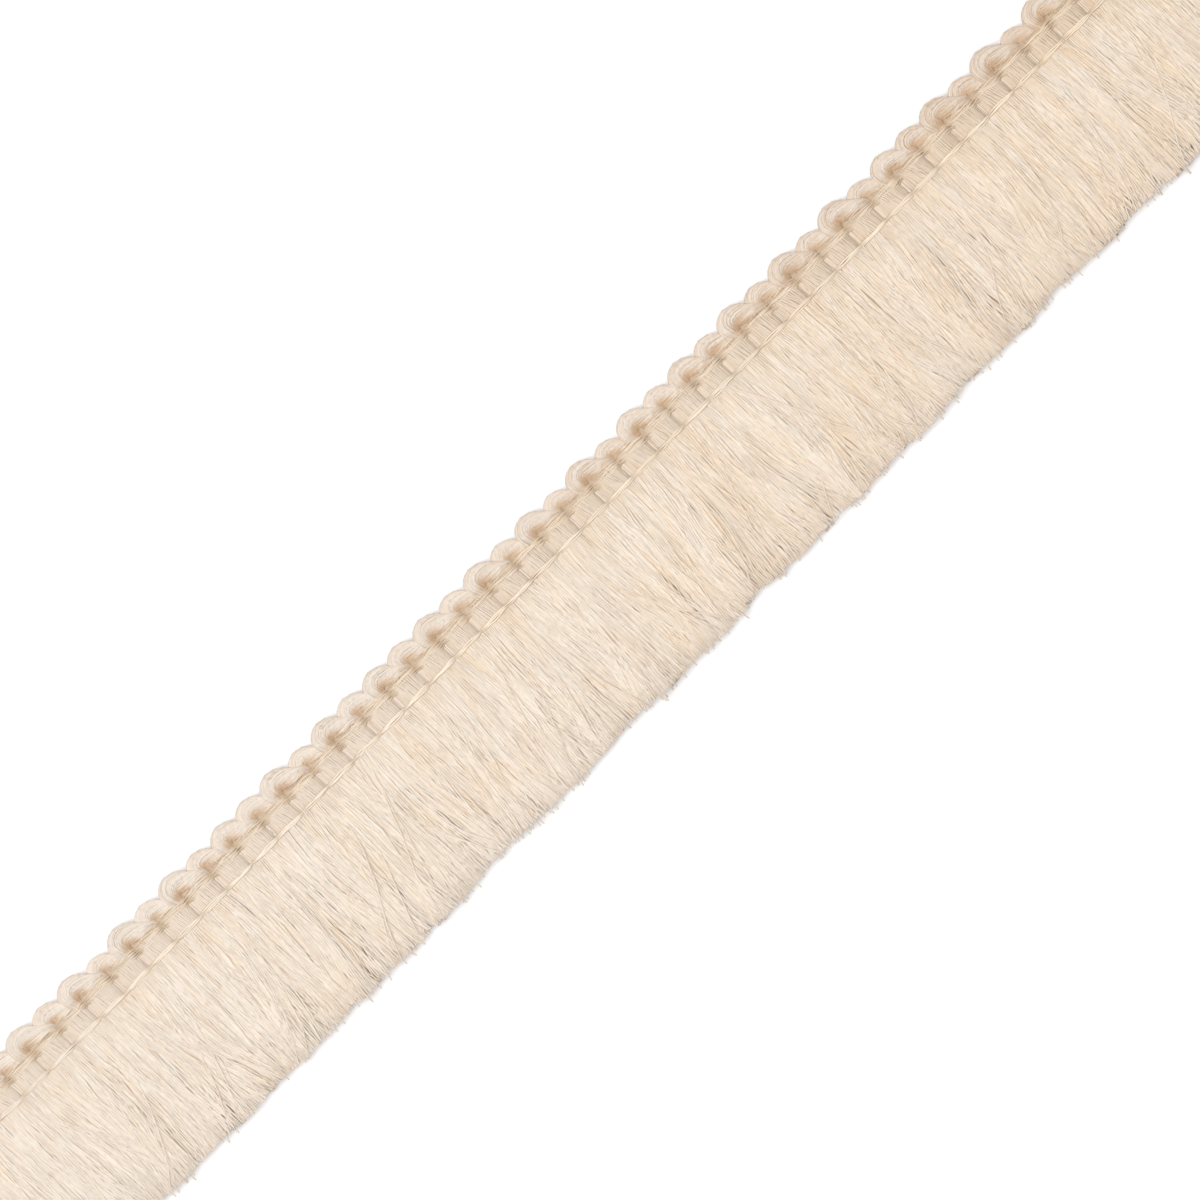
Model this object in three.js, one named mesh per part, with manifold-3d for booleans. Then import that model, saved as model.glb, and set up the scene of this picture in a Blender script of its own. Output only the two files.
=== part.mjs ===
import * as THREE from 'three';
import { mergeVertices } from 'three/addons/utils/BufferGeometryUtils.js';
import Module from 'manifold-3d';

const wasm = await Module();
wasm.setup();

// A brush fringe trim: a cut length that lies flat with its face up. All sizes are in millimetres.
// X runs along the trim, +Y points to the looped edge, -Y to the cut ends of the brush, and Z is up.
// The origin is the middle of the length and the width, on the surface that the trim lies on.

// Whole trim
const pitch = 7.87; // one loop, one rib and one stitch of each line
const pitches = 50;
const length = pitch * pitches;
const width = 50;
const clearance = 0.3; // between two pieces that touch on a real trim
const loopTopY = width / 2;
const cutEdgeY = -width / 2;

// Heading: crossing ribbons, one crowned rib between each two grooves
const headingLowY = 13;
const headingHighY = 18.2;
const ribHigh = 3.2;
const ribShoulder = { along: 1.3, high: 2.8 }; // measured from the middle of a groove
const groove = { half: 0.4, high: 1.5 };

// Lines of chain stitch, which ride on the ribs and dip at the grooves
const upperLineY = 17.6;
const lowerLineY = 13.55;
const stitch = {
  crest: { wide: 0.48, high: 0.45, up: ribHigh + clearance + 0.45 },
  dip: { wide: 0.3, high: 0.3, up: ribHigh + 0.25 },
};

// Looped edge: the middle line of one tall turn of the yarn bundle goes up from its foot, round an arch
// and down into a tail that passes the next foot. `along` is measured from the middle of the arch, `up`
// is the height of the middle line, and `wide` and `high` are half sizes of the bundle.
const arch = { across: 19.9, halfSpan: 2.3, rise: 2.9, high: 2.05, sideWide: 1.8, topWide: 2.2 };
const archAngles = [180, 136, 92, 50, 14]; // degrees, where the bundle has a section
const foot = { along: -2.3, across: 17.9, up: 1.6, wide: 1.6, high: 1.6 };
const tail = [
  { along: 4.5, across: 19.55, up: 2.1, wide: 0.95, high: 1.15 },
  { along: 6.0, across: 19.2, up: 2.0, wide: 0.7, high: 0.8 },
];
const turn = [
  foot,
  ...archAngles.map(THREE.MathUtils.degToRad).map((angle) => ({
    along: arch.halfSpan * Math.cos(angle),
    across: arch.across + arch.rise * Math.sin(angle),
    up: arch.high,
    wide: THREE.MathUtils.lerp(arch.sideWide, arch.topWide, Math.sin(angle)),
    high: arch.high,
  })),
  ...tail,
];
const smallTurn = { size: 0.88, shift: -0.5 }; // every other turn is smaller and leans on the tall one
const turnUnevenness = 0.03;
const loopFootY = headingHighY + clearance;

// Brush: locks in two layers, rooted in a backing strip just below the lower stitch line. The lower
// layer lies flat on the surface, with its gaps under the locks of the upper one, which are crested and
// swell a little over their middle. `wide` is a half width, and `high` a half height.
const stripHighY = headingLowY - clearance;
const stripDepth = 1.2;
const stripHigh = 3.3;
const stripCrown = 0.6;
const lowerLocks = {
  perPitch: 2, wide: 1.7, tipWide: 1.4, high: 0.75, rootZ: 0.75, middleZ: 0.75, tipZ: 0.75,
};
const upperLocks = {
  perPitch: 3, wide: 1.05, tipWide: 0.74, high: 0.68, rootZ: 2.4, middleZ: 2.9, tipZ: 2.5,
};
const endLockShare = 0.45; // of a lower lock's width, at each end of the trim
const lockRaggedness = 1.3; // how much shorter than the longest the locks are cut, at most
const lockLean = { shared: 0.5, own: 0.22, waves: 17 };

// A repeatable uneven number from -1 to 1 for the piece `index` and the purpose `kind`
function uneven(index, kind) {
  const spread = Math.sin(index * 12.9898 + kind * 78.233) * 43758.5453;
  return 2 * (spread - Math.floor(spread)) - 1;
}

function solidOf(geometry) {
  const bare = geometry.clone();
  bare.deleteAttribute('normal');
  bare.deleteAttribute('uv');
  const merged = mergeVertices(bare);
  return new wasm.Manifold(new wasm.Mesh({
    numProp: 3,
    vertProperties: merged.attributes.position.array,
    triVerts: new Uint32Array(merged.index.array),
  }));
}

function geometryOf(solid) {
  const { vertProperties, triVerts } = solid.getMesh();
  const shared = new THREE.BufferGeometry();
  shared.setAttribute('position', new THREE.BufferAttribute(vertProperties, 3));
  shared.setIndex(new THREE.BufferAttribute(triVerts, 1));
  const faceted = shared.toNonIndexed();
  faceted.computeVertexNormals();
  return faceted;
}

// A closed tube along a path, bent from a straight blank that is 1 long in Y and reaches 1 to each side.
// Its section stays upright: `wide` is its half width, level and square to the path, and `high` its half
// height. Both are functions of the way along the path, from 0 to 1.
function tubeAlong(path, blank, wide, high) {
  const corners = blank.attributes.position;
  for (let i = 0; i < corners.count; i += 1) {
    const way = corners.getY(i) + 0.5;
    const middle = path.getPoint(way);
    const tangent = path.getTangent(way);
    const sideways = new THREE.Vector3(tangent.y, -tangent.x, 0).normalize();
    middle.addScaledVector(sideways, corners.getX(i) * wide(way));
    middle.z += corners.getZ(i) * high(way);
    corners.setXYZ(i, middle.x, middle.y, middle.z);
  }
  return blank;
}

function flatBlank(steps) {
  return new THREE.BoxGeometry(2, 1, 2, 1, steps, 1);
}

function crestedBlank(steps) {
  return new THREE.BoxGeometry(Math.SQRT2, 1, Math.SQRT2, 1, steps, 1).rotateY(Math.PI / 4);
}

// Six sides, with one flat on the surface
function bundleBlank(steps) {
  const sides = 6;
  const blank = new THREE.CylinderGeometry(1, 1, 1, sides, steps, false, Math.PI / sides);
  return blank.scale(1, 1, 1 / Math.cos(Math.PI / sides));
}

// The value of one column of a table at `way`, from 0 at its first row to 1 at its last
function columnAt(rows, column, way) {
  const place = way * (rows.length - 1);
  const low = Math.min(Math.floor(place), rows.length - 2);
  return THREE.MathUtils.lerp(rows[low][column], rows[low + 1][column], place - low);
}

function headingBand() {
  const outline = new THREE.Shape();
  outline.moveTo(length / 2, 0);
  outline.lineTo(length / 2, ribHigh);
  for (let i = pitches - 1; i >= 0; i -= 1) {
    const middle = (i + 0.5) * pitch - length / 2; // each groove lies under the top of a loop
    outline.lineTo(middle + ribShoulder.along, ribShoulder.high);
    outline.lineTo(middle + groove.half, groove.high);
    outline.lineTo(middle - groove.half, groove.high);
    outline.lineTo(middle - ribShoulder.along, ribShoulder.high);
    outline.lineTo(middle - pitch / 2, ribHigh);
  }
  outline.lineTo(-length / 2, 0);
  const band = new THREE.ExtrudeGeometry(outline, {
    depth: headingHighY - headingLowY,
    bevelEnabled: false,
  });
  band.rotateX(Math.PI / 2); // the outline stands in XZ and the extrusion runs towards -Y
  band.translate(0, headingHighY, 0);
  return band;
}

// One stitch a pitch: thick over the rib, thin and low where it dips into the groove
function stitchLine(lineY) {
  const rows = [];
  for (let i = 0; i <= 2 * pitches; i += 1) {
    const bend = i % 2 === 0 ? stitch.crest : stitch.dip;
    rows.push({ ...bend, along: (i * pitch) / 2 - length / 2 });
  }
  const path = {
    getPoint: (way) => new THREE.Vector3(columnAt(rows, 'along', way), lineY, columnAt(rows, 'up', way)),
    getTangent: () => new THREE.Vector3(1, 0, 0),
  };
  return tubeAlong(
    path,
    crestedBlank(rows.length - 1),
    (way) => columnAt(rows, 'wide', way),
    (way) => columnAt(rows, 'high', way),
  );
}

function oneTurn(index) {
  const isSmall = index % 2 !== 0;
  const size = (isSmall ? smallTurn.size : 1) * (1 - turnUnevenness * (1 + uneven(index, 1)) / 2);
  const top = (index + 0.5) * pitch - length / 2 + (isSmall ? smallTurn.shift : 0);
  const path = new THREE.CatmullRomCurve3(turn.map((row) => new THREE.Vector3(
    top + row.along * size,
    loopFootY + (row.across - loopFootY) * size,
    row.up * size,
  )));
  return tubeAlong(
    path,
    bundleBlank(turn.length - 1),
    (way) => columnAt(turn, 'wide', way) * size,
    (way) => columnAt(turn, 'high', way) * size,
  );
}

function loopedEdge() {
  const turns = [];
  for (let i = -1; i < pitches; i += 1) {
    turns.push(solidOf(oneTurn(i)));
  }
  const depth = loopTopY - loopFootY + 1;
  const kept = new THREE.BoxGeometry(length, depth, 10);
  kept.translate(0, loopFootY + depth / 2, 5);
  return geometryOf(wasm.Manifold.union(turns).intersect(solidOf(kept)));
}

// A lock of one layer, whose root is `place` from 0 to 1 along the trim
function oneLock(layer, blank, place, share) {
  const wide = layer.wide * share;
  const rootX = THREE.MathUtils.clamp((place - 0.5) * length, wide - length / 2, length / 2 - wide);
  const number = place * layer.perPitch * pitches;
  const lean = lockLean.shared * Math.sin(place * Math.PI * 2 * lockLean.waves)
    + lockLean.own * uneven(number, 2);
  const tipY = cutEdgeY + lockRaggedness * (0.5 + 0.5 * uneven(number, 3));
  const rootY = stripHighY - stripDepth / 2;
  const path = new THREE.QuadraticBezierCurve3(
    new THREE.Vector3(rootX, rootY, layer.rootZ),
    new THREE.Vector3(rootX + lean / 4, (rootY + 2 * tipY) / 3, layer.middleZ),
    new THREE.Vector3(rootX + lean * share, tipY, layer.tipZ),
  );
  return tubeAlong(
    path,
    blank,
    (way) => THREE.MathUtils.lerp(wide, layer.tipWide * share, way * way),
    () => layer.high,
  );
}

function backingStrip() {
  const section = new THREE.Shape();
  section.moveTo(stripHighY, 0);
  section.lineTo(stripHighY, stripHigh);
  section.lineTo(stripHighY - stripDepth + stripCrown, stripHigh);
  section.lineTo(stripHighY - stripDepth, stripHigh - stripCrown);
  section.lineTo(stripHighY - stripDepth, 0);
  const strip = new THREE.ExtrudeGeometry(section, { depth: length, bevelEnabled: false });
  // The section's own X becomes Y and its Y becomes Z, so that the extrusion runs along X.
  strip.applyMatrix4(new THREE.Matrix4().makeBasis(
    new THREE.Vector3(0, 1, 0),
    new THREE.Vector3(0, 0, 1),
    new THREE.Vector3(1, 0, 0),
  ));
  return strip.translate(-length / 2, 0, 0);
}

function brushSkirt() {
  const pieces = [solidOf(backingStrip())];
  const lowerCount = lowerLocks.perPitch * pitches;
  for (let i = 0; i <= lowerCount; i += 1) {
    const share = i === 0 || i === lowerCount ? endLockShare : 1;
    pieces.push(solidOf(oneLock(lowerLocks, flatBlank(1), i / lowerCount, share)));
  }
  const upperCount = upperLocks.perPitch * pitches;
  for (let i = 0; i < upperCount; i += 1) {
    pieces.push(solidOf(oneLock(upperLocks, crestedBlank(2), (i + 0.5) / upperCount, 1)));
  }
  return geometryOf(wasm.Manifold.union(pieces));
}

const yarn = new THREE.MeshStandardMaterial({ color: 0xebdcc8, roughness: 0.85, metalness: 0 });
const ribbonYarn = new THREE.MeshStandardMaterial({ color: 0xded0bb, roughness: 0.88, metalness: 0 });
const stitchYarn = new THREE.MeshStandardMaterial({ color: 0xe8dac6, roughness: 0.8, metalness: 0 });

const trim = new THREE.Group();

function addPiece(name, geometry, material) {
  const piece = new THREE.Mesh(geometry, material);
  piece.name = name;
  trim.add(piece);
}

addPiece('looped_edge', loopedEdge(), yarn);
addPiece('heading_band', headingBand(), ribbonYarn);
addPiece('chain_upper', stitchLine(upperLineY), stitchYarn);
addPiece('chain_lower', stitchLine(lowerLineY), stitchYarn);
addPiece('brush_skirt', brushSkirt(), yarn);

export default trim;
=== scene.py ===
import math

import bpy
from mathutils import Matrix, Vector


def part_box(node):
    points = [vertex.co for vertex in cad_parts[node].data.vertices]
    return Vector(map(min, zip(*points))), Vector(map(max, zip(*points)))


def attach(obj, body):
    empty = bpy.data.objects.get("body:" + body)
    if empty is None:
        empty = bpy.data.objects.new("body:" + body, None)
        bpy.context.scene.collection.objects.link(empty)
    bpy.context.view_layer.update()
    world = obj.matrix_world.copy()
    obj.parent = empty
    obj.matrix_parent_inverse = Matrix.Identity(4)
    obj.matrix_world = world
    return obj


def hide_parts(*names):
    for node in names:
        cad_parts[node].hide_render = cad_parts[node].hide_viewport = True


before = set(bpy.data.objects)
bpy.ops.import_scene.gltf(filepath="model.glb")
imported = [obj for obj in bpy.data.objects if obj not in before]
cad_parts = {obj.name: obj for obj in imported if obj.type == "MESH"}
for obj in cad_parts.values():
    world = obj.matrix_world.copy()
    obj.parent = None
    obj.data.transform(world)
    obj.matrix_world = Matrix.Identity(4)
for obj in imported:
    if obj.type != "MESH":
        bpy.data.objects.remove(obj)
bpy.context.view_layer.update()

# Brush fringe trim, dressed with yarn. +X runs along the trim, +Y points to the looped edge.
mm = 0.001


def middleY(node):
    low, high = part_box(node)
    return (low[1] + high[1]) / 2


pitchCount = 50
goldenShare = 0.61803  # neighbours that are numbered by it land in layers far apart
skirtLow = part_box("brush_skirt")[0]
bandLow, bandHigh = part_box("heading_band")
trimLength = bandHigh[0] - bandLow[0]
pitch = trimLength / pitchCount
lowerLineY = middleY("chain_lower")
upperLineY = middleY("chain_upper")


# A socket that can stand in a sum, so that a formula in a node tree reads as one
class Wire:
    def __init__(self, maker, socket):
        self.maker = maker
        self.socket = socket

    def __add__(self, other):
        return self.maker.math("ADD", self, other)

    def __sub__(self, other):
        return self.maker.math("SUBTRACT", self, other)

    def __rsub__(self, other):
        return self.maker.math("SUBTRACT", other, self)

    def __mul__(self, other):
        return self.maker.math("MULTIPLY", self, other)

    def __truediv__(self, other):
        return self.maker.math("DIVIDE", self, other)

    def __pow__(self, other):
        return self.maker.math("POWER", self, other)

    __radd__ = __add__
    __rmul__ = __mul__


# Puts nodes into one tree and wires them up
class TreeMaker:
    def __init__(self, tree):
        self.tree = tree

    def feed(self, socket, value):
        if isinstance(value, Wire):
            value = value.socket
        if isinstance(value, bpy.types.NodeSocket):
            self.tree.links.new(value, socket)
        else:
            socket.default_value = value

    def put(self, kind, inputs=None, **settings):
        node = self.tree.nodes.new(kind)
        for name, value in settings.items():
            setattr(node, name, value)
        for key, value in (inputs or {}).items():
            self.feed(node.inputs[key], value)
        return node

    def wire(self, kind, output, inputs=None, **settings):
        return Wire(self, self.put(kind, inputs, **settings).outputs[output])

    def math(self, operation, *values):
        return self.wire("ShaderNodeMath", 0, dict(enumerate(values)), operation=operation)

    def point(self, x=0.0, y=0.0, z=0.0):
        return self.wire("ShaderNodeCombineXYZ", 0, {0: x, 1: y, 2: z})

    def split(self, vector):
        node = self.put("ShaderNodeSeparateXYZ", {0: vector})
        return [Wire(self, output) for output in node.outputs]

    def ramp(self, value, low, high, outLow=0.0, outHigh=1.0):
        sizes = {0: value, 1: low, 2: high, 3: outLow, 4: outHigh}
        return self.wire("ShaderNodeMapRange", 0, sizes, interpolation_type="SMOOTHSTEP")

    def limit(self, value, most):  # keeps a value between -most and most
        return self.math("MINIMUM", self.math("MAXIMUM", value, most * -1.0), most)

    def noise(self, vector, detail=1.0, scale=1.0):  # mostly between -0.25 and 0.25
        sizes = {"Vector": vector, "Scale": scale, "Detail": detail}
        return self.wire("ShaderNodeTexNoise", 0, sizes) - 0.5

    def chance(self, number, seed, low=0.0, high=1.0):  # an even random value for each number
        sizes = {2: low, 3: high, 7: number, 8: seed}
        return self.wire("FunctionNodeRandomValue", 1, sizes, data_type="FLOAT")

    def join(self, *parts):
        node = self.put("GeometryNodeJoinGeometry")
        for part in reversed(parts):
            self.feed(node.inputs[0], part)
        return Wire(self, node.outputs[0])

    def keep(self, geometry, name, value, kind="FLOAT"):
        sizes = {"Geometry": geometry, "Name": name, "Value": value}
        return self.wire("GeometryNodeStoreNamedAttribute", 0, sizes, data_type=kind, domain="POINT")

    def kept(self, name):
        return self.wire("GeometryNodeInputNamedAttribute", 0, {"Name": name}, data_type="FLOAT")

    def carried(self, name, output="Fac"):  # the same value in a material
        return self.wire("ShaderNodeAttribute", output, attribute_name=name)


# A geometry tree whose sizes are named inputs; build(maker, size, guide) returns its last geometry
def geometryTree(name, sizes, material, build):
    tree = bpy.data.node_groups.new(name, "GeometryNodeTree")
    tree.interface.new_socket(name="Guide", in_out="INPUT", socket_type="NodeSocketGeometry")
    for label, value in sizes.items():
        kind = "NodeSocketInt" if isinstance(value, int) else "NodeSocketFloat"
        tree.interface.new_socket(name=label, in_out="INPUT", socket_type=kind)
    tree.interface.new_socket(name="Yarn", in_out="OUTPUT", socket_type="NodeSocketGeometry")
    maker = TreeMaker(tree)
    inlet = tree.nodes.new("NodeGroupInput")
    size = {label: Wire(maker, inlet.outputs[label]) for label in sizes}
    made = build(maker, size, Wire(maker, inlet.outputs["Guide"]))
    made = maker.wire("GeometryNodeSetShadeSmooth", 0, {"Geometry": made})
    made = maker.wire("GeometryNodeRealizeInstances", 0, {"Geometry": made})
    made = maker.wire("GeometryNodeSetMaterial", 0, {"Geometry": made, "Material": material})
    maker.feed(tree.nodes.new("NodeGroupOutput").inputs["Yarn"], made)
    return tree


# Runs a tree once and leaves a plain mesh object
def grow(name, tree, sizes, guide=None):
    piece = bpy.data.objects.new(name, guide or bpy.data.meshes.new(name + "Guide"))
    bpy.context.scene.collection.objects.link(piece)
    modifier = piece.modifiers.new(name, "NODES")
    modifier.node_group = tree
    for item in tree.interface.items_tree:
        if item.in_out == "INPUT" and item.name in sizes:
            modifier[item.identifier] = sizes[item.name]
    graph = bpy.context.evaluated_depsgraph_get()
    mesh = bpy.data.meshes.new_from_object(piece.evaluated_get(graph), depsgraph=graph)
    piece.modifiers.clear()
    piece.data = mesh
    mesh.name = name
    triangles = sum(len(face.vertices) - 2 for face in mesh.polygons)
    print(f"{name}: {len(mesh.vertices)} points, {triangles} triangles")
    return piece


# The same straight line of some steps, once for each yarn, each one's number, and the way along it
def manyLines(maker, count, steps):
    line = maker.wire("GeometryNodeCurvePrimitiveLine", 0)
    line = maker.wire("GeometryNodeResampleCurve", 0, {"Curve": line, "Count": steps + 1})
    many = maker.put("GeometryNodeDuplicateElements", {"Geometry": line, "Amount": count}, domain="SPLINE")
    lines = maker.keep(many.outputs[0], "way", maker.wire("GeometryNodeSplineParameter", "Factor"))
    return lines, Wire(maker, many.outputs[1]), maker.kept("way")


# Which group of a few a number belongs to, and its place in that group
def grouped(maker, number, each):
    group = maker.math("FLOOR", (number + 0.5) / each)
    return group, number - group * each


# Noise over the fields that a row names, each as often as it says, with a seed in the place of one
def uneven(maker, fields, row):
    spots = []
    for name, often in row.items():
        if name == "seed":
            spots.append(often)
        elif name != "detail":
            spots.append(fields[name] * often)
    return maker.noise(maker.point(*spots), row.get("detail", 1.0))


# Yarn round each line, a flat side to the front, with what its material reads: along, round and tone
def tubes(maker, lines, radius, sides, back, along, tone):
    lines = maker.wire("GeometryNodeSetCurveNormal", 0, {"Curve": lines, "Normal": back}, mode="FREE")
    lines = maker.keep(lines, "yarnAlong", along)
    lines = maker.keep(lines, "yarnTone", tone)
    ring = maker.wire("GeometryNodeCurvePrimitiveCircle", 0, {"Resolution": sides, "Radius": 1.0})
    ring = maker.keep(ring, "yarnSide", maker.wire("GeometryNodeInputPosition", 0), "FLOAT_VECTOR")
    parts = {"Curve": lines, "Profile Curve": ring, "Scale": radius, "Fill Caps": True}
    return maker.wire("GeometryNodeCurveToMesh", 0, parts)


def place(maker, lines, x, y, z):
    return maker.wire("GeometryNodeSetPosition", 0, {"Geometry": lines, "Position": maker.point(x, y, z)})


# Fine spun yarn: twist, stray fibres, an uneven tone with painted shade down each strand's sides, and the
# painted shade mask, from what the tubes carry
spunInputs = {"Twist Pitch": 1.6 * mm, "Plies": 2.0, "Fuzz Scale": 2600.0}
spunFigures = {
    "fuzzDetail": 2.0, "patchScale": 45.0, "patchDetail": 2.0,
    "slub": {"along": 260.0, "tone": 71.0, "detail": 2.0}, "slubTone": 1.1, "sideShadeTone": 0.9,
    "twistHeight": 0.5, "slubHeight": 0.5,
}


def yarnGroup():
    tree = bpy.data.node_groups.new("spunYarn", "ShaderNodeTree")
    for label, value in spunInputs.items():
        socket = tree.interface.new_socket(name=label, in_out="INPUT", socket_type="NodeSocketFloat")
        socket.default_value = value
    for label in ("Tone", "Height", "Patch", "Tip"):
        tree.interface.new_socket(name=label, in_out="OUTPUT", socket_type="NodeSocketFloat")
    maker = TreeMaker(tree)
    inlet = tree.nodes.new("NodeGroupInput")
    outlet = tree.nodes.new("NodeGroupOutput")
    twistPitch, plies, fuzzScale = (Wire(maker, inlet.outputs[label]) for label in spunInputs)
    along = maker.carried("yarnAlong")
    tone = maker.carried("yarnTone")
    across, edge = maker.split(maker.carried("yarnSide", "Vector"))[:2]
    angle = maker.math("ARCTAN2", edge, across)
    twist = maker.math("SINE", angle * plies + along / twistPitch * math.tau)
    spot = maker.wire("ShaderNodeTexCoord", "Object")
    fuzz = maker.noise(spot, spunFigures["fuzzDetail"], fuzzScale)
    patch = maker.noise(spot, spunFigures["patchDetail"], spunFigures["patchScale"])
    slub = uneven(maker, {"along": along, "tone": tone}, spunFigures["slub"])
    # The strands' sides are coloured warmer as painted shade between neighbouring strands
    mixed = tone + slub * spunFigures["slubTone"] + edge * edge * spunFigures["sideShadeTone"]
    maker.feed(outlet.inputs["Tone"], mixed)
    height = twist * spunFigures["twistHeight"] + fuzz + slub * spunFigures["slubHeight"]
    maker.feed(outlet.inputs["Height"], height)
    maker.feed(outlet.inputs["Patch"], patch)
    maker.feed(outlet.inputs["Tip"], maker.carried("yarnPaintedShade"))
    return tree


spunYarn = yarnGroup()


# Light and warm mix by each yarn's tone, which carries painted shade too, its patch, and its place along the
# trim, which paints one end lighter as light falls; painted shade then mixes tips, dips, rims and recesses
# towards the tip colour
def yarnColour(maker, group, look):
    tone = Wire(maker, group.outputs["Tone"])
    patch = Wire(maker, group.outputs["Patch"])
    alongTrim = maker.split(maker.wire("ShaderNodeTexCoord", "Object"))[0]
    # Painted light: one end of the trim coloured lighter and the other warmer, as the light falls along it
    paintedLightAlong = maker.ramp(alongTrim, -look["paintedLightEnds"], look["paintedLightEnds"], -0.5, 0.5)
    warm = tone * look["toneSpread"] + patch * look["patchSpread"] + paintedLightAlong * look["paintedLightSpread"] + look["warmth"]
    sizes = {0: warm, 6: look["light"], 7: look["dark"]}
    colour = maker.wire("ShaderNodeMix", 2, sizes, data_type="RGBA")
    # Painted shade: the mask mixes the colour towards the tip colour
    shade = Wire(maker, group.outputs["Tip"]) * look["paintedShadeStrength"]
    sizes = {0: shade, 6: colour, 7: look["tip"]}
    return maker.wire("ShaderNodeMix", 2, sizes, data_type="RGBA")


def yarnMaterial(name, look):
    material = bpy.data.materials.new(name)
    material.use_nodes = True
    maker = TreeMaker(material.node_tree)
    surface = material.node_tree.nodes["Principled BSDF"]
    group = maker.put("ShaderNodeGroup", node_tree=spunYarn)
    group.inputs["Twist Pitch"].default_value = look["twistPitch"]
    bump = maker.put("ShaderNodeBump", {"Height": group.outputs["Height"]})
    bump.inputs["Distance"].default_value = look["relief"]
    bump.inputs["Strength"].default_value = look["reliefStrength"]
    rough = Wire(maker, group.outputs["Patch"]) * look["roughnessSpread"] + look["roughness"]
    maker.feed(surface.inputs["Base Color"], yarnColour(maker, group, look))
    maker.feed(surface.inputs["Roughness"], rough)
    maker.feed(surface.inputs["Normal"], bump.outputs[0])
    surface.inputs["Sheen Weight"].default_value = look["sheen"]
    surface.inputs["Sheen Tint"].default_value = look["sheenTint"]
    surface.inputs["Sheen Roughness"].default_value = look["sheenRoughness"]
    surface.inputs["Specular IOR Level"].default_value = look["specular"]
    return material


# In each look, tip is the colour that painted shade mixes in; the spread and ends figures paint one end of
# the trim lighter
brushLook = {
    "light": (0.86, 0.777, 0.695, 1.0), "dark": (0.835, 0.64, 0.435, 1.0),
    "tip": (0.62, 0.53, 0.45, 1.0), "paintedShadeStrength": 0.4,
    "warmth": 0.0, "toneSpread": 0.5, "patchSpread": 0.5, "paintedLightSpread": 0.25, "paintedLightEnds": 0.18,
    "roughness": 0.75, "roughnessSpread": 0.1, "relief": 0.03 * mm, "reliefStrength": 0.6,
    "twistPitch": 1.8 * mm, "sheen": 0.2, "sheenTint": (1.0, 0.84, 0.66, 1.0), "sheenRoughness": 0.5,
    "specular": 0.25,
}
loopLook = dict(
    brushLook, light=(0.79, 0.71, 0.63, 1.0), dark=(0.6, 0.43, 0.29, 1.0), toneSpread=0.6,
    paintedLightSpread=0.35, twistPitch=1.5 * mm)
# The ribbons' brown tip colour paints shade where they fan out under the loops
ribbonLook = dict(
    brushLook, light=(0.765, 0.655, 0.55, 1.0), dark=(0.68, 0.52, 0.365, 1.0), paintedLightSpread=0.6,
    tip=(0.53, 0.4, 0.278, 1.0), paintedShadeStrength=0.9)
stitchLook = dict(
    brushLook, light=(0.818, 0.733, 0.635, 1.0), tip=(0.545, 0.418, 0.297, 1.0), paintedShadeStrength=0.7,
    twistPitch=1.2 * mm)

brushYarn = yarnMaterial("brushYarn", brushLook)
loopYarn = yarnMaterial("loopYarn", loopLook)
ribbonYarn = yarnMaterial("ribbonYarn", ribbonLook)
stitchYarn = yarnMaterial("stitchYarn", stitchLook)
print("yarn finishes are ready")


# Brush: loose yarns that lie side by side, sway and bunch together, and are cut off unevenly
brushSizes = {
    "Yarns": 2500, "First Yarn": 0, "All Yarns": 7500, "Seed": 0, "Steps": 10, "Sides": 3,
    "Length": trimLength, "Pitch": pitch, "Yarn Length": 38 * mm,
    "Radius": 0.186 * mm, "Radius Spread": 0.3, "Least Radius": 0.82, "End Radius": 0.8,
    "Low Level": 0.83, "High Level": 1.0, "Level Bias": 1.0,
    "Root": lowerLineY + 0.1 * mm, "Tip": skirtLow[1] + 0.75 * mm, "Parting": 0.45 * mm,
    "Root Thickness": 2.75 * mm, "Swell": 3.4 * mm, "Tip Thickness": 2.9 * mm,
    "Swell From": -0.03, "Swell To": 0.14, "Settle From": 0.84, "Held Share": 0.2, "Free Share": 0.25,
    "Sway": 9 * mm, "Group Lean": 21 * mm, "Lean": 1.6 * mm, "Bunching": 0.6 * mm, "Wave": 2.0 * mm,
    "End Lean": 5 * mm, "End Lean From": 120 * mm, "End Lean To": 180 * mm,
    "Calm From": 178 * mm, "Calm To": 195 * mm, "Calm Share": 0.15,
    "Lift": 0.7 * mm, "Folds": 2.0 * mm,
    "Stray Share": 0.04, "Stray Lean": 17 * mm, "Stray Lift": 0.3 * mm, "Stray Curve": 1.25,
    "Leave By": 0.5, "Crossing Low": 0.03, "Crossing High": 0.15,
    "Raggedness": 6.0 * mm, "Ragged Share": 0.3, "Long Share": 0.05, "Long By": 1.9 * mm, "Stubs": 0.0,
    # Painted shade figures: darker towards the cut end, at overlong ends, at stubs and at the root under the
    # lower chain; the tones that follow colour deeper yarns and the root warmer as painted shade, beside
    # each yarn's own random tone and streaks
    "Lower Shade": 0.3, "Lower From": 0.75, "End Shade": 0.35, "End From": 0.93, "Long Shade": 1.3,
    "Root Shade": 0.5, "Stub From": 0.88, "Stub To": 0.96, "Stub Shading": 0.6 * mm,
    "Own Tone": 0.55, "Layer Shade Tone": 0.35, "Root Shade Tone": 0.3, "Warmth": -0.1, "Streaks": 1.6,
}
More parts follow.
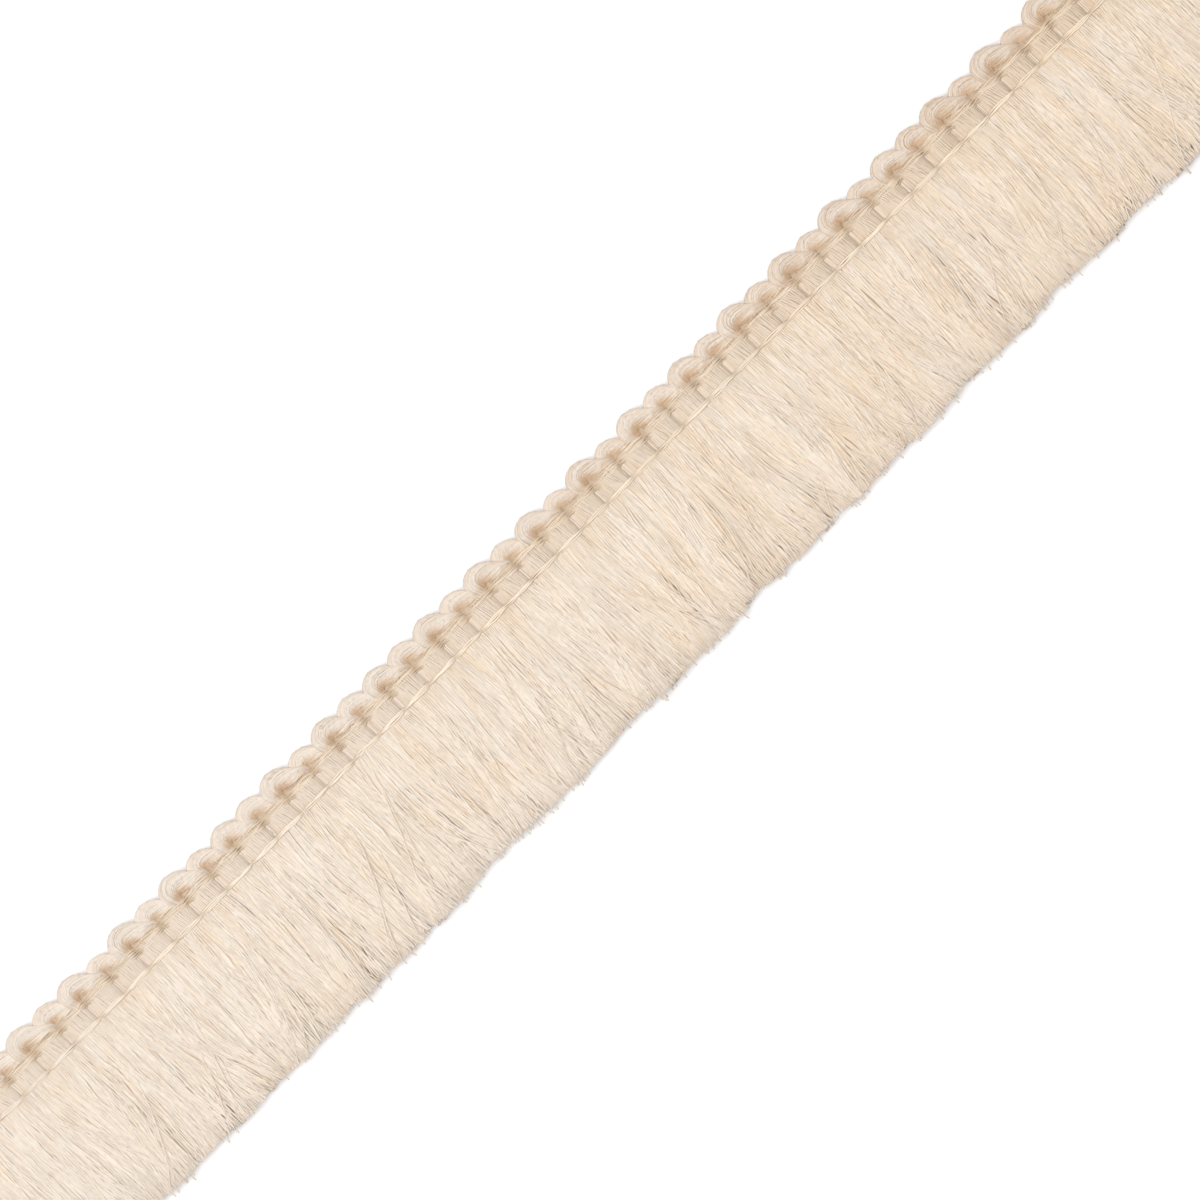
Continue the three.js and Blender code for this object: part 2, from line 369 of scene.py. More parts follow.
brushParts = {
    # The body lies under the face yarns, so it is coloured warmer as painted shade
    "brush_body": {
        "Yarns": 2400, "All Yarns": 2400, "Seed": 9000, "Steps": 3, "Radius": 0.46 * mm,
        "Low Level": 0.0, "High Level": 0.9, "Level Bias": 0.6, "Warmth": 0.3,
        "Tip": skirtLow[1] + 1.9 * mm, "Group Lean": 3 * mm, "Bunching": 0.2 * mm, "Parting": 0.1 * mm,
        "Long Share": 0.0, "Stray Share": 0.0, "Stubs": 1.9 * mm,
    },
    "brush_face_left": {"First Yarn": 0},
    "brush_face_middle": {"First Yarn": 2500},
    "brush_face_right": {"First Yarn": 5000},
}
brushWaves = {  # how often each unevenness changes with the place, the layer, the way or the yarn
    "sway": {"rootX": 42.0, "level": 0.4, "way": 0.5, "detail": 2.0},
    "group": {"rootX": 200.0, "rank": 1.6, "way": 0.8},
    "bunch": {"rootX": 620.0, "way": 4.2, "level": 1.6},
    "wave": {"own": 7.3, "way": 6.0},
    "crossing": {"rootX": 150.0, "seed": 21.0, "detail": 0.0},
    "cut": {"rootX": 75.0, "seed": 3.0, "level": 0.2, "detail": 3.0},
    "stub": {"rootX": 95.0, "seed": 47.0},
    "fold": {"rootX": 115.0, "way": 1.6, "seed": 5.0, "detail": 2.0},
    "lift": {"own": 3.1, "way": 6.0, "seed": 7.0},
    "streak": {"rootX": 420.0, "way": 2.5, "seed": 31.0},
}
brushSeeds = {
    "root": 1, "along": 2, "endLean": 3, "stray": 4, "lean": 5, "ragged": 6, "radius": 7, "tone": 8,
    "long": 9, "longBy": 10, "turn": 11, "leaves": 12, "stub": 14,
}


# The yarns' lines, and what places each of them
def brushField(maker, size):
    lines, number, way = manyLines(maker, size["Yarns"], size["Steps"])
    number = number + size["First Yarn"]
    yarn = {"own": number + size["Seed"], "way": way}
    share = (number + drawn(maker, yarn, "root")) / size["All Yarns"]
    yarn["rootX"] = (share - 0.5) * (size["Length"] - 2 * size["Radius"])
    yarn["rank"] = maker.math("FRACT", number * goldenShare)
    levels = size["High Level"] - size["Low Level"]
    yarn["level"] = size["Low Level"] + yarn["rank"] ** size["Level Bias"] * levels
    yarn["rib"] = (yarn["rootX"] + size["Length"] / 2) / size["Pitch"] * math.tau
    yarn["held"] = 1.0 - maker.ramp(way, 0.0, size["Held Share"])
    yarn["free"] = maker.ramp(way, 0.0, size["Free Share"])
    yarn["isStray"] = maker.math("LESS_THAN", drawn(maker, yarn, "stray"), size["Stray Share"])
    yarn["leaves"] = maker.math("MAXIMUM", way - drawn(maker, yarn, "leaves") * size["Leave By"], 0.0)
    yarn["isLong"] = maker.math("LESS_THAN", drawn(maker, yarn, "long"), size["Long Share"])
    stub = maker.ramp(uneven(maker, yarn, brushWaves["stub"]), 0.0, 0.1)
    yarn["stub"] = stub * drawn(maker, yarn, "stub", 0.5, 1.0) * size["Stubs"]
    return lines, yarn


# An even random value that a yarn keeps for one purpose
def drawn(maker, yarn, name, low=0.0, high=1.0):
    return maker.chance(yarn["own"], brushSeeds[name], low, high)


def brushAlong(maker, size, yarn):
    sway = uneven(maker, yarn, brushWaves["sway"]) * size["Sway"]
    group = uneven(maker, yarn, brushWaves["group"]) * size["Group Lean"]
    bunch = uneven(maker, yarn, brushWaves["bunch"]) * size["Bunching"]
    wave = uneven(maker, yarn, brushWaves["wave"]) * size["Wave"]
    lean = (drawn(maker, yarn, "lean") - 0.5) * 2.0 * size["Lean"]
    fromMiddle = maker.math("ABSOLUTE", yarn["rootX"])
    calm = maker.ramp(fromMiddle, size["Calm From"], size["Calm To"], 1.0, size["Calm Share"])
    ends = maker.ramp(yarn["rootX"], size["End Lean From"], size["End Lean To"])
    ends = ends * size["End Lean"] * drawn(maker, yarn, "endLean")
    parted = maker.math("SINE", yarn["rib"]) * yarn["held"] * size["Parting"] * -1.0
    leaning = (sway + group * calm + lean + ends) * yarn["way"]
    stray = brushStray(maker, size, yarn)
    return yarn["rootX"] + leaning + (bunch + wave) * yarn["free"] + stray * calm + parted


# A few yarns leave the others part of the way down and cross them, all to one side in each stretch
def brushStray(maker, size, yarn):
    crossing = uneven(maker, yarn, brushWaves["crossing"])
    steepness = maker.ramp(maker.math("ABSOLUTE", crossing), size["Crossing Low"], size["Crossing High"])
    crossing = maker.math("SIGN", crossing) * steepness
    return crossing * yarn["isStray"] * size["Stray Lean"] * yarn["leaves"] ** size["Stray Curve"]


def brushDown(maker, size, yarn):
    cut = uneven(maker, yarn, brushWaves["cut"]) * size["Raggedness"]
    ragged = drawn(maker, yarn, "ragged") ** 3.0 * size["Raggedness"] * size["Ragged Share"]
    overlong = yarn["isLong"] * drawn(maker, yarn, "longBy") * size["Long By"]
    tip = size["Tip"] + cut + ragged - overlong - yarn["stub"]
    return size["Root"] + (tip - size["Root"]) * yarn["way"]


def brushHeight(maker, size, yarn):
    swell = maker.ramp(yarn["way"], size["Swell From"], size["Swell To"])
    swell = swell * (size["Swell"] - size["Root Thickness"])
    settle = maker.ramp(yarn["way"], size["Settle From"], 1.0) * (size["Swell"] - size["Tip Thickness"])
    valley = (maker.math("COSINE", yarn["rib"]) - 1.0) * 0.5 * size["Parting"] * yarn["held"]
    thick = size["Root Thickness"] + swell - settle + valley
    fold = uneven(maker, yarn, brushWaves["fold"]) * size["Folds"] * yarn["free"]
    lift = uneven(maker, yarn, brushWaves["lift"]) * size["Lift"]
    raised = yarn["isStray"] * size["Stray Lift"] * maker.ramp(yarn["leaves"], 0.0, 0.1)
    z = yarn["level"] * (thick - 2 * size["Radius"]) + (fold + lift) * yarn["level"] + raised
    return maker.math("MAXIMUM", z, 0.0) + size["Radius"] * 1.1


# Painted shade: darker towards the cut end, at overlong ends, at the stubs low under the edge and at the
# root under the lower chain
def brushShade(maker, size, yarn):
    lower = maker.ramp(yarn["way"], size["Lower From"], 1.0) * size["Lower Shade"]
    end = maker.ramp(yarn["way"], size["End From"], 1.0)
    end = end * (size["End Shade"] + yarn["isLong"] * size["Long Shade"])
    stub = maker.ramp(yarn["way"], size["Stub From"], size["Stub To"]) * yarn["stub"] / size["Stub Shading"]
    return lower + end + yarn["held"] * size["Root Shade"] + stub


# A yarn's own random tone and streaks, plus painted shade: deeper layers and the root under the lower chain
# coloured warmer
def brushTone(maker, size, yarn):
    own = drawn(maker, yarn, "tone") * size["Own Tone"]
    layer = (1.0 - yarn["rank"]) * size["Layer Shade Tone"]
    streak = uneven(maker, yarn, brushWaves["streak"]) * size["Streaks"]
    return own + layer + size["Warmth"] + yarn["held"] * size["Root Shade Tone"] + streak


def brushTree(maker, size, guide):
    lines, yarn = brushField(maker, size)
    x = brushAlong(maker, size, yarn)
    y = brushDown(maker, size, yarn)
    z = brushHeight(maker, size, yarn)
    lines = maker.keep(place(maker, lines, x, y, z), "yarnPaintedShade", brushShade(maker, size, yarn))
    radius = size["Radius"] * (drawn(maker, yarn, "radius") * size["Radius Spread"] + size["Least Radius"])
    radius = radius * maker.ramp(yarn["way"], 0.9, 1.1, 1.0, size["End Radius"])
    along = yarn["way"] * size["Yarn Length"] + drawn(maker, yarn, "along") * 0.5
    back = maker.point(drawn(maker, yarn, "turn") - 0.5, 0.0, -1.0)
    return tubes(maker, lines, radius, size["Sides"], back, along, brushTone(maker, size, yarn))


# Looped edge: each turn is a bundle whose yarns follow one guide round the arch and into the tail
loopGuide = [  # mm from the middle of the arch, mm across the trim, height and half sizes of the bundle
    {"along": -2.1, "across": 17.3, "up": 1.2, "wide": 1.5, "high": 1.1},
    {"along": -2.3, "across": 18.7, "up": 1.5, "wide": 2.0, "high": 1.4},
    {"along": -2.15, "across": 20.4, "up": 2.05, "wide": 2.45, "high": 1.95},
    {"along": -1.6, "across": 21.85, "up": 2.1, "wide": 2.5, "high": 2.05},
    {"along": 0.0, "across": 22.5, "up": 2.1, "wide": 2.5, "high": 2.05},
    {"along": 1.45, "across": 21.9, "up": 2.15, "wide": 2.55, "high": 2.0},
    {"along": 2.6, "across": 21.15, "up": 2.35, "wide": 2.45, "high": 1.75},
    {"along": 3.9, "across": 20.6, "up": 2.75, "wide": 1.85, "high": 1.35},
    {"along": 5.3, "across": 20.2, "up": 2.95, "wide": 1.3, "high": 0.95},
    {"along": 6.5, "across": 19.8, "up": 2.7, "wide": 0.9, "high": 0.75},
    {"along": 7.3, "across": 19.2, "up": 2.0, "wide": 0.65, "high": 0.6},
    {"along": 7.6, "across": 18.4, "up": 1.3, "wide": 0.5, "high": 0.5},
]
loopSizes = {
    "Turns": 25, "First Turn": 0, "All Turns": pitchCount, "Yarns": 56, "Inner Yarns": 14, "Steps": 14,
    "Sides": 3, "Pitch": pitch, "Yarn Length": 20 * mm,
    "Radius": 0.18 * mm, "Radius Spread": 0.3, "Least Radius": 0.85,
    "Inner Ring": 0.74, "Inner Thickness": 0.3, "Inner Shade Tone": 1.0,
    "Size": 1.0, "Shift": 0.0, "Height": 1.0, "Foot": bandHigh[1], "Unevenness": 0.1, "Small Share": 0.7,
    "Roll": 3.4, "Roll Spread": 0.5, "Least Roll": 0.75, "Jitter": 0.9, "Stagger": 0.6, "Bulge": 0.05,
    "Furrow": 0.04, "Furrow From": 0.8, "Furrow Spread": 1.6, "Furrow Sharpness": 5.0,
    "Gather": 0.62, "Turn At": 0.36, "Slip": 0.015,
    # The pit and foot figures place and size painted shade
    "Pit X": 0.2 * mm, "Pit Y": 20.1 * mm, "Pit Squash": 1.2, "Pit Rim": 2.8 * mm, "Pit Floor": 0.6 * mm,
    "Pit Shade": 1.7, "Foot Rim": 20.8 * mm, "Foot Floor": 19.0 * mm, "Foot Shade": 0.6,
    "Own Tone": 0.9, "Base Tone": -0.3, "Pit Shade Tone": 0.9, "Rim Shade From": 0.8,
}
loopParts = {
    "loops_tall": {},
    "loops_small": {"First Turn": 1, "Size": 0.93, "Unevenness": 0.2, "Shift": -0.2 * mm, "Height": 0.84},
}
loopWaves = {
    "jitter": {"own": 5.7, "way": 2.5},
    "bulge": {"own": 3.3, "way": 3.0, "seed": 4.0},
}
loopSeeds = {
    "size": 11, "roll": 12, "furrow": 13, "radius": 15, "along": 16, "tone": 17, "strand": 18, "slip": 19,
}
seedsEach = 5000  # keeps the numbers of tall and small turns apart


def guideMesh(name, rows):
    mesh = bpy.data.meshes.new(name)
    points = [(row["along"] * mm, row["across"] * mm, row["up"] * mm) for row in rows]
    mesh.from_pydata(points, [(i, i + 1) for i in range(len(points) - 1)], [])
    for side in ("wide", "high"):
        values = mesh.attributes.new(side, "FLOAT", "POINT")
        for item, row in zip(values.data, rows):
            item.value = row[side] * mm
    return mesh


def loopTree(maker, size, guide):
    path = maker.wire("GeometryNodeMeshToCurve", 0, {0: guide})
    path = maker.wire("GeometryNodeCurveSplineType", 0, {0: path}, spline_type="CATMULL_ROM")
    outer = loopLines(maker, size, path, size["Yarns"], 1.0)
    inner = loopLines(maker, size, path, size["Inner Yarns"], size["Inner Ring"])
    radius = maker.chance(outer["own"], loopSeeds["radius"]) * size["Radius Spread"] + size["Least Radius"]
    radius = size["Radius"] * radius
    along = outer["way"] * size["Yarn Length"] + maker.chance(outer["own"], loopSeeds["along"]) * 0.5
    # Own random tone, plus painted shade near the pit and towards the foot
    tone = maker.chance(outer["own"], loopSeeds["tone"]) * size["Own Tone"] + size["Base Tone"]
    tone = tone + outer["pitShade"] * size["Pit Shade Tone"]
    skin = tubes(maker, outer["lines"], radius, size["Sides"], outer["back"], along, tone)
    # The heart's yarns get a warm dark tone as painted shade in the gaps between the skin's yarns
    along = inner["way"] * size["Yarn Length"]
    radius = inner["high"] * size["Inner Thickness"]
    heart = tubes(maker, inner["lines"], radius, size["Sides"], inner["back"], along, size["Inner Shade Tone"])
    return maker.join(heart, skin)


# How far round its guide each point of a yarn lies, with shorter steps round the arch
def loopWay(maker, size, way, own):
    slip = maker.chance(own, loopSeeds["slip"]) - 0.5
    way = way + maker.math("SINE", way * math.pi) * slip * size["Slip"]
    swing = maker.math("SINE", (way - size["Turn At"]) * math.tau)
    swing = swing + maker.math("SINE", size["Turn At"] * math.tau)
    return way - swing * size["Gather"] / math.tau


# The guide's place, heading and half sizes at each point
def loopSample(maker, path, way):
    found = {}
    for side in ("wide", "high"):
        sample = maker.put(
            "GeometryNodeSampleCurve", {"Curves": path, "Value": maker.kept(side), "Factor": way},
            mode="FACTOR", use_all_curves=True)
        found[side] = Wire(maker, sample.outputs["Value"])
    found["x"], found["y"], found["z"] = maker.split(sample.outputs["Position"])
    tangentX, tangentY = maker.split(sample.outputs["Tangent"])[:2]
    flat = maker.math("SQRT", tangentX * tangentX + tangentY * tangentY)
    found["sideX"] = tangentY / flat
    found["sideY"] = tangentX / flat * -1.0
    return found


# Painted shade: how much darker and warmer a yarn is coloured near the pit that each loop closes on, and
# towards its foot, where shade falls
def loopPitShade(maker, size, localX, localY, y):
    fromPitX = localX - size["Pit X"]
    fromPitY = (localY - size["Pit Y"]) * size["Pit Squash"]
    fromPit = maker.math("SQRT", fromPitX * fromPitX + fromPitY * fromPitY)
    pitShade = maker.ramp(fromPit, size["Pit Rim"], size["Pit Floor"]) * size["Pit Shade"]
    return pitShade + maker.ramp(y, size["Foot Rim"], size["Foot Floor"]) * size["Foot Shade"]


# Where round its bundle a yarn runs, and what the furrow and the bulges leave of its distance
def loopRound(maker, size, yarn, turn, strand, each):
    roll = maker.chance(turn, loopSeeds["roll"]) * size["Roll Spread"] + size["Least Roll"]
    roll = roll * size["Roll"] * yarn["way"]
    jitter = uneven(maker, yarn, loopWaves["jitter"]) * size["Jitter"]
    jitter = jitter + maker.chance(yarn["own"], loopSeeds["strand"]) * size["Stagger"]
    angle = (strand + jitter) / each * math.tau + roll
    furrowAt = maker.chance(turn, loopSeeds["furrow"]) * size["Furrow Spread"] + size["Furrow From"]
    fromFurrow = maker.math("SINE", (angle - furrowAt) * 0.5) * size["Furrow Sharpness"]
    furrow = 1.0 - size["Furrow"] * maker.math("EXPONENT", fromFurrow * fromFurrow * -1.0)
    bulge = uneven(maker, yarn, loopWaves["bulge"]) * size["Bulge"] + 1.0
    return maker.math("COSINE", angle), maker.math("SINE", angle), furrow, bulge


# The lines of every turn's yarns: ring is 1 round the bundle's skin and 0 down its middle
def loopLines(maker, size, path, each, ring):
    lines, number, way = manyLines(maker, size["Turns"] * each, size["Steps"])
    own = number + size["First Turn"] * seedsEach
    way = loopWay(maker, size, way, own)
    at = loopSample(maker, path, way)
    turn, strand = grouped(maker, number, each)
    turn = turn * 2.0 + size["First Turn"]
    fit = (maker.chance(turn, loopSeeds["size"]) - size["Small Share"]) * size["Unevenness"]
    fit = size["Size"] * (1.0 + fit)
    yarn = {"own": own, "way": way}
    cosine, sine, furrow, bulge = loopRound(maker, size, yarn, turn, strand, each)
    beside = cosine * (at["wide"] - size["Radius"]) * furrow * bulge * ring
    above = sine * (at["high"] - size["Radius"]) * furrow * bulge * ring
    localX = at["x"] + beside * at["sideX"]
    localY = at["y"] + beside * at["sideY"]
    x = localX * fit + (turn + 0.5 - size["All Turns"] / 2) * size["Pitch"] + size["Shift"]
    x = maker.math("MINIMUM", x, size["All Turns"] * size["Pitch"] / 2)
    y = (localY - size["Foot"]) * fit + size["Foot"]
    z = maker.math("MAXIMUM", (at["z"] + above) * fit * size["Height"], size["Radius"])
    # Painted shade on the yarns along one rim of each bundle, where it turns away from the light
    inward = cosine * -1.0
    lines = maker.keep(place(maker, lines, x, y, z), "yarnPaintedShade", maker.ramp(inward, size["Rim Shade From"], 1.0))
    return {
        "lines": lines, "own": own, "way": way, "pitShade": loopPitShade(maker, size, localX, localY, y),
        "high": at["high"] * fit * size["Height"],
        "back": maker.point(at["sideX"] * inward, at["sideY"] * inward, sine * -1.0),
    }


# Heading: a flat ribbon of yarns between each two grooves, which fans out under the loops
ribbonSizes = {
    "Ribbons": pitchCount + 1, "Yarns": 21, "Layers": 4, "Steps": 4, "Sides": 3, "Seed": 0,
    "Pitch": pitch, "Width": 7.2 * mm, "Overlap": 0.4 * mm, "Yarn Length": 7.2 * mm,
    "Top": 20.8 * mm, "Bottom": lowerLineY - 0.5 * mm, "Upper Line": upperLineY, "Lower Line": lowerLineY,
    "Thickness": 3.1 * mm, "Under Loops": 2.1 * mm, "Groove": 1.6 * mm, "Pinch": 0.3 * mm, "Crown": 0.3,
    "Pinch Near": 0.1 * mm, "Pinch Far": 1.2 * mm, "Fan Length": 1.4 * mm,
    "Dive From": 0.6 * mm, "Dive To": 3.0 * mm, "Crowding": 2.2, "Layer Slip": 0.2, "Column Slip": 0.4,
    "Slant": 1.8 * mm, "Least Slant": 0.3, "Slant About": 0.6, "Wander": 0.9 * mm,
    "Radius": 0.24 * mm, "Radius Spread": 0.3, "Least Radius": 1.35, "Thinner Above": 0.5,
    "Thicker Back": 0.9, "Under Rise": 1.4, "Back Rise": 1.2,
    "Own Tone": 0.7, "Base Tone": -0.2, "Depth Shade Tone": 0.6, "Groove Light Tone": 1.2, "Edge Shade Tone": 0.8,
}
ribbonWander = {"own": 1.37, "way": 3.0}
ribbonSeeds = {"stagger": 21, "slant": 23, "radius": 24, "along": 25, "tone": 26, "rise": 27}


def ribbonPinch(maker, size, y, line):
    away = maker.math("ABSOLUTE", y - size[line])
    return 1.0 - maker.ramp(away, size["Pinch Near"], size["Pinch Far"])


# The lowest layer is the flat back, the next the groove's floor, and the others crown the ribbon; the lowest
# two are coloured paler as painted light in the groove, apart from where they fan out under the loops
def ribbonField(maker, size):
    each = size["Yarns"] * size["Layers"]
    lines, number, way = manyLines(maker, size["Ribbons"] * each, size["Steps"])
    yarn = {"own": number + size["Seed"], "way": way}
    yarn["ribbon"], strand = grouped(maker, number, each)
    layer, column = grouped(maker, strand, size["Yarns"])
    yarn["isUnder"] = maker.math("LESS_THAN", layer, 1.5)
    yarn["isBack"] = maker.math("LESS_THAN", layer, 0.5)
    stagger = maker.math("MODULO", layer, 2.0) * 0.5
    stagger = stagger + (maker.chance(yarn["own"], ribbonSeeds["stagger"]) - 0.5) * size["Column Slip"]
    yarn["across"] = (column + 0.25 + stagger) / size["Yarns"] * 2.0 - 1.0
    rise = layer - 1.0 + maker.chance(yarn["own"], ribbonSeeds["rise"]) * size["Layer Slip"]
    rise = maker.math("MAXIMUM", rise, 0.0) / (size["Layers"] - 2.0 + size["Layer Slip"])
    yarn["level"] = 1.0 - (1.0 - rise) ** size["Crowding"]
    yarn["y"] = size["Top"] + (size["Bottom"] - size["Top"]) * way
    yarn["beyond"] = maker.ramp(yarn["y"] - size["Upper Line"], 0.0, size["Fan Length"])
    drop = maker.math("POWER", maker.math("ABSOLUTE", yarn["across"]), 3.0) * size["Crown"]
    yarn["crown"] = 1.0 - drop
    return lines, yarn


def ribbonAlong(maker, size, yarn):
    edgeless = 1.0 - yarn["across"] * yarn["across"]
    slant = (maker.chance(yarn["ribbon"], ribbonSeeds["slant"]) + size["Least Slant"]) * size["Slant"]
    slant = slant * (yarn["way"] - size["Slant About"]) * edgeless
    wander = uneven(maker, yarn, ribbonWander) * size["Wander"] * edgeless
    wider = maker.math("MAXIMUM", yarn["beyond"], yarn["isUnder"])
    spare = (size["Pitch"] - size["Width"]) / 2 + size["Overlap"]
    half = size["Width"] / 2 + wider * spare - size["Radius"]
    middle = (yarn["ribbon"] - (size["Ribbons"] - 1.0) / 2) * size["Pitch"]
    x = middle + yarn["across"] * half + slant + wander
    return maker.limit(x, size["Pitch"] * (size["Ribbons"] - 1.0) / 2 - size["Radius"])


def ribbonHeight(maker, size, yarn):
    upper = ribbonPinch(maker, size, yarn["y"], "Upper Line")
    lower = ribbonPinch(maker, size, yarn["y"], "Lower Line")
    pinch = maker.math("MAXIMUM", upper, lower)
    dive = maker.ramp(yarn["y"] - size["Upper Line"], size["Dive From"], size["Dive To"])
    thick = (size["Thickness"] - pinch * size["Pinch"]) * yarn["crown"]
    thick = thick + (size["Under Loops"] - thick) * dive
    front = size["Groove"] + yarn["level"] * (thick - size["Groove"] - size["Radius"] * 2.0)
    back = size["Radius"] * (size["Under Rise"] + yarn["isBack"] * size["Back Rise"])
    return back + front * (1.0 - yarn["isBack"])


# Own random tone, plus painted shade on deeper yarns and on the ribbon's falling edges, and painted light:
# the groove's lowest yarns coloured paler
def ribbonTone(maker, size, yarn):
    tone = maker.chance(yarn["own"], ribbonSeeds["tone"]) * size["Own Tone"] + size["Base Tone"]
    tone = tone + (1.0 - yarn["level"]) * size["Depth Shade Tone"]
    tone = tone - yarn["isUnder"] * size["Groove Light Tone"] * (1.0 - yarn["beyond"])
    return tone + (1.0 - yarn["crown"]) * size["Edge Shade Tone"]


def ribbonTree(maker, size, guide):
    lines, yarn = ribbonField(maker, size)
    x = ribbonAlong(maker, size, yarn)
    z = ribbonHeight(maker, size, yarn)
    # Painted shade on the yarns that fan out under the loops
    lines = maker.keep(place(maker, lines, x, yarn["y"], z), "yarnPaintedShade", yarn["beyond"])
    radius = maker.chance(yarn["own"], ribbonSeeds["radius"]) * size["Radius Spread"] + size["Least Radius"]
    radius = radius - yarn["level"] * size["Thinner Above"] + yarn["isBack"] * size["Thicker Back"]
    along = yarn["way"] * size["Yarn Length"] + maker.chance(yarn["own"], ribbonSeeds["along"]) * 0.5
    tone = ribbonTone(maker, size, yarn)
    return tubes(maker, lines, size["Radius"] * radius, size["Sides"], (0.0, 0.0, -1.0), along, tone)


# Chain stitch: threads side by side that rise over each ribbon and dive between two, and one behind
stitchSizes = {
    "Stitches": pitchCount + 1, "Threads": 4, "Steps": 10, "Sides": 4, "Seed": 0, "Radius": 0.23 * mm,
    "Pitch": pitch, "Yarn Length": 8.3 * mm, "Line": lowerLineY - 0.3 * mm,
    "Overlap": 1.04, "End Spread": 0.7 * mm, "Spread": 0.31 * mm, "Side Slip": 0.3, "Wander": 0.95 * mm,
    "Pinch": 0.45, "Pinch Curve": 0.35, "Crest": 3.2 * mm, "Dip": 0.75 * mm, "Dip Curve": 0.6,
    "Low Spread": 0.2 * mm, "Side Drop": 0.15 * mm,
    "Shade": -0.15, "Shade From": 0.85, "Shade To": 0.1, "Own Tone": 0.8, "Base Tone": -0.2,
}
stitchParts = {
    "stitches_upper": {
        "Threads": 11, "Line": upperLineY + 0.45 * mm, "Spread": 1.2 * mm, "Radius": 0.2 * mm,
        "Pinch": 0.3, "Shade": 0.45, "Crest": 2.9 * mm, "Dip": 0.6 * mm, "Wander": 1.6 * mm, "Seed": 400,
    },
    "stitches_lower": {},
}
stitchNodes = {"stitches_upper": "chain_upper", "stitches_lower": "chain_lower"}
stitchWander = {"x": 230.0, "thread": 0.9}
stitchSeeds = {"ends": 31, "tone": 32, "side": 33, "low": 34}


def stitchTree(maker, size, guide):
    lines, number, way = manyLines(maker, size["Stitches"] * size["Threads"], size["Steps"])
    own = number + size["Seed"]
    stitch, thread = grouped(maker, number, size["Threads"])
    front = size["Threads"] - 1.0
    isBack = maker.math("GREATER_THAN", thread, front - 0.5)
    isFront = 1.0 - isBack
    side = (thread / (front - 1.0) * 2.0 - 1.0) * isFront
    side = side + (maker.chance(own, stitchSeeds["side"]) - 0.5) * size["Side Slip"]
    bulge = maker.math("SINE", way * math.pi)
    middle = (stitch - (size["Stitches"] - 1.0) / 2) * size["Pitch"]
    ends = (maker.chance(own, stitchSeeds["ends"]) - 0.5) * size["End Spread"]
    x = middle + (way - 0.5) * size["Pitch"] * size["Overlap"] + ends
    x = maker.limit(x, size["Pitch"] * (size["Stitches"] - 1.0) / 2)
    wander = uneven(maker, {"x": x, "thread": thread}, stitchWander) * size["Wander"]
    pinch = 1.0 - size["Pinch"] * (1.0 - maker.math("POWER", bulge, size["Pinch Curve"]))
    y = size["Line"] + side * size["Spread"] * pinch + wander
    low = maker.chance(own, stitchSeeds["low"]) * size["Low Spread"] + side * side * size["Side Drop"]
    top = size["Crest"] - size["Dip"] * (1.0 - maker.math("POWER", bulge, size["Dip Curve"])) - low
    z = top * isFront + size["Radius"] * isBack
    # Painted shade where the threads dive between two ribbons, and over the whole upper line, which lies
    # under the loops
    shade = maker.ramp(bulge, size["Shade From"], size["Shade To"]) + size["Shade"]
    lines = maker.keep(place(maker, lines, x, y, z), "yarnPaintedShade", shade)
    tone = maker.chance(own, stitchSeeds["tone"]) * size["Own Tone"] + size["Base Tone"]
    along = way * size["Yarn Length"]
    return tubes(maker, lines, size["Radius"], size["Sides"], (0.0, 0.0, -1.0), along, tone)


# Hangs a piece on the trim in place of its solid
def hang(piece, node):
    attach(piece, "root")
    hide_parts(node)


def dress():
    tree = geometryTree("brushYarns", brushSizes, brushYarn, brushTree)
    for name, own in brushParts.items():
        hang(grow(name, tree, dict(brushSizes, **own)), "brush_skirt")
    tree = geometryTree("loopYarns", loopSizes, loopYarn, loopTree)
    for name, own in loopParts.items():
        loops = grow(name, tree, dict(loopSizes, **own), guideMesh(name + "Guide", loopGuide))
        hang(loops, "looped_edge")
    tree = geometryTree("ribbonYarns", ribbonSizes, ribbonYarn, ribbonTree)
    hang(grow("ribbons", tree, ribbonSizes), "heading_band")
    tree = geometryTree("stitches", stitchSizes, stitchYarn, stitchTree)
    for name, own in stitchParts.items():
        hang(grow(name, tree, dict(stitchSizes, **own)), stitchNodes[name])


floorSettings = {"half": 4.0, "colour": (0.93, 0.93, 0.935, 1.0), "roughness": 0.9}


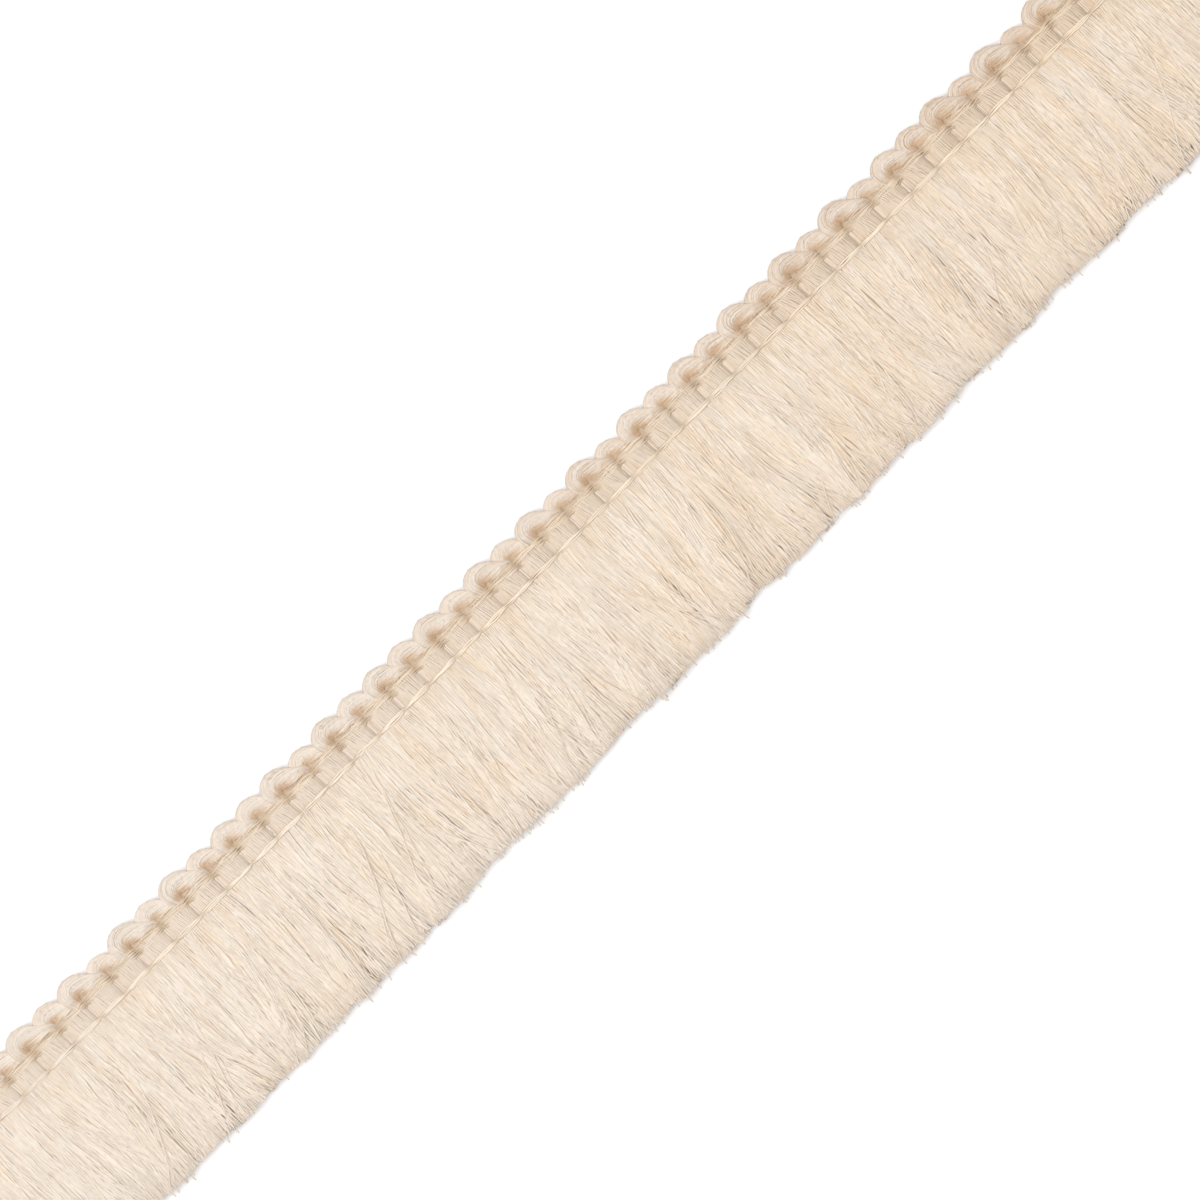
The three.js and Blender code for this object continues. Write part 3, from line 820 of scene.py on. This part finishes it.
def floor():
    half = floorSettings["half"]
    corners = [(-half, -half, 0), (half, -half, 0), (half, half, 0), (-half, half, 0)]
    mesh = bpy.data.meshes.new("floor")
    mesh.from_pydata(corners, [], [(0, 1, 2, 3)])
    material = bpy.data.materials.new("paleFloor")
    material.use_nodes = True
    surface = material.node_tree.nodes["Principled BSDF"]
    surface.inputs["Base Color"].default_value = floorSettings["colour"]
    surface.inputs["Roughness"].default_value = floorSettings["roughness"]
    mesh.materials.append(material)
    piece = bpy.data.objects.new("floor", mesh)
    bpy.context.scene.collection.objects.link(piece)
    print("floor is laid")


lightSettings = {
    "world": 0.42, "sky": (1.0, 0.98, 0.95, 1.0),
    "lamps": [
        {"at": (-0.46, 0.36, 1.75), "size": 1.6, "power": 31.8},
        {"at": (0.5, -0.7, 1.6), "size": 1.2, "power": 6.0},
    ],
}


def light():
    world = bpy.data.worlds.new("studio")
    bpy.context.scene.world = world
    world.use_nodes = True
    background = world.node_tree.nodes["Background"]
    background.inputs["Color"].default_value = lightSettings["sky"]
    background.inputs["Strength"].default_value = lightSettings["world"]
    for index, lamp in enumerate(lightSettings["lamps"]):
        data = bpy.data.lights.new(f"softbox{index}", "AREA")
        data.size = lamp["size"]
        data.energy = lamp["power"]
        box = bpy.data.objects.new(data.name, data)
        box.location = lamp["at"]
        aim = -box.location
        box.rotation_euler = aim.to_track_quat("-Z", "Y").to_euler()
        bpy.context.scene.collection.objects.link(box)
    print("lights are set")


cameraSettings = {
    "lens": 200.0, "sensor": 36.0, "farthest": 50.0, "viewWidth": 261.1 * mm,
    "slope": math.radians(45.44), "centre": (-4.6 * mm, -0.35 * mm, 2.0 * mm),
}


def camera():
    data = bpy.data.cameras.new("camera")
    data.sensor_width = cameraSettings["sensor"]
    data.lens = cameraSettings["lens"]
    data.clip_end = cameraSettings["farthest"]
    eye = bpy.data.objects.new("camera", data)
    x, y, z = cameraSettings["centre"]
    away = cameraSettings["viewWidth"] * cameraSettings["lens"] / cameraSettings["sensor"]
    eye.location = (x, y, z + away)
    eye.rotation_euler = (0.0, 0.0, -cameraSettings["slope"])
    bpy.context.scene.collection.objects.link(eye)
    bpy.context.scene.camera = eye
    print("camera is set")


camera()
floor()
light()
dress()
bpy.context.scene.view_settings.view_transform = "Standard"
bpy.context.scene.cycles.diffuse_bounces = 7  # pale yarn passes on light between its strands
